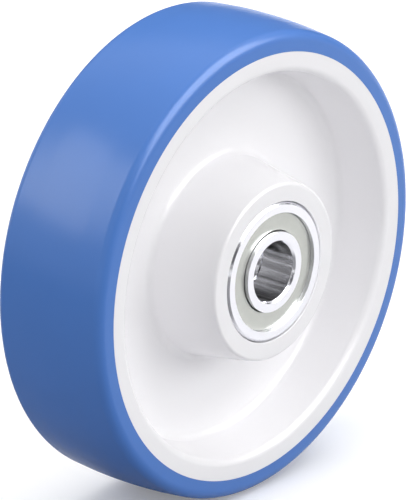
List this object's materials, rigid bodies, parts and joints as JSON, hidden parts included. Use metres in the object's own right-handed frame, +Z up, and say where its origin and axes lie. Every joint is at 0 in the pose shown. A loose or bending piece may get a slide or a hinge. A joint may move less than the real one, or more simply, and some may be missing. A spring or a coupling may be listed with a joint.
{
  "type": "castor wheel",
  "caption": "Castor wheel: blue polyurethane tread on a white plastic centre with a solid web, turning on shielded ball bearings over a plain axle bore.",
  "frame": {"origin": "centre of the wheel, on its axle's axis and midway between the two bearing faces", "axes": "+Y along the axle, from the front face to the back; the pictured front looks along -Y; +Z up with the wheel upright"},
  "size_m": [0.16, 0.06, 0.16],
  "materials": {
    "polyurethane_tread": "satin blue polyurethane",
    "polyamide_centre": "white injection-moulded polyamide, light gloss",
    "turned_steel": "drawn steel tube",
    "ground_steel": "finely ground bearing steel",
    "polished_steel": "polished bearing steel",
    "shield_sheet": "satin pressed steel sheet",
    "cage_sheet": "pressed steel sheet"
  },
  "bodies": {
    "axle_side": {"inner_ring_front": "ground_steel", "inner_ring_back": "ground_steel", "spacer_tube": "turned_steel"},
    "wheel": {"wheel_centre": "polyamide_centre", "tread": "polyurethane_tread", "outer_ring_front": "ground_steel", "shield_outer_front": "shield_sheet", "shield_inner_front": "shield_sheet", "outer_ring_back": "ground_steel", "shield_outer_back": "shield_sheet", "shield_inner_back": "shield_sheet"},
    "cage_set_front": {"cage_outer_front": "cage_sheet", "cage_inner_front": "cage_sheet", "ball_front_1": "polished_steel", "ball_front_2": "polished_steel", "ball_front_3": "polished_steel", "ball_front_4": "polished_steel", "ball_front_5": "polished_steel", "ball_front_6": "polished_steel", "ball_front_7": "polished_steel", "ball_front_8": "polished_steel"},
    "cage_set_back": {"cage_outer_back": "cage_sheet", "cage_inner_back": "cage_sheet", "ball_back_1": "polished_steel", "ball_back_2": "polished_steel", "ball_back_3": "polished_steel", "ball_back_4": "polished_steel", "ball_back_5": "polished_steel", "ball_back_6": "polished_steel", "ball_back_7": "polished_steel", "ball_back_8": "polished_steel"}
  },
  "joints": [
    {"name": "wheel_spin", "type": "hinge", "parent": "axle_side", "child": "wheel", "pos_m": [0, 0, 0], "axis": [0, 1, 0], "continuous": true},
    {"name": "cage_spin_front", "type": "hinge", "parent": "axle_side", "child": "cage_set_front", "pos_m": [0, -0.023, 0], "axis": [0, 1, 0], "continuous": true},
    {"name": "cage_spin_back", "type": "hinge", "parent": "axle_side", "child": "cage_set_back", "pos_m": [0, 0.023, 0], "axis": [0, 1, 0], "continuous": true}
  ],
  "couplings": [
    {"joint": "cage_spin_front", "follows": "wheel_spin", "ratio": 0.61848},
    {"joint": "cage_spin_back", "follows": "wheel_spin", "ratio": 0.61848}
  ]
}
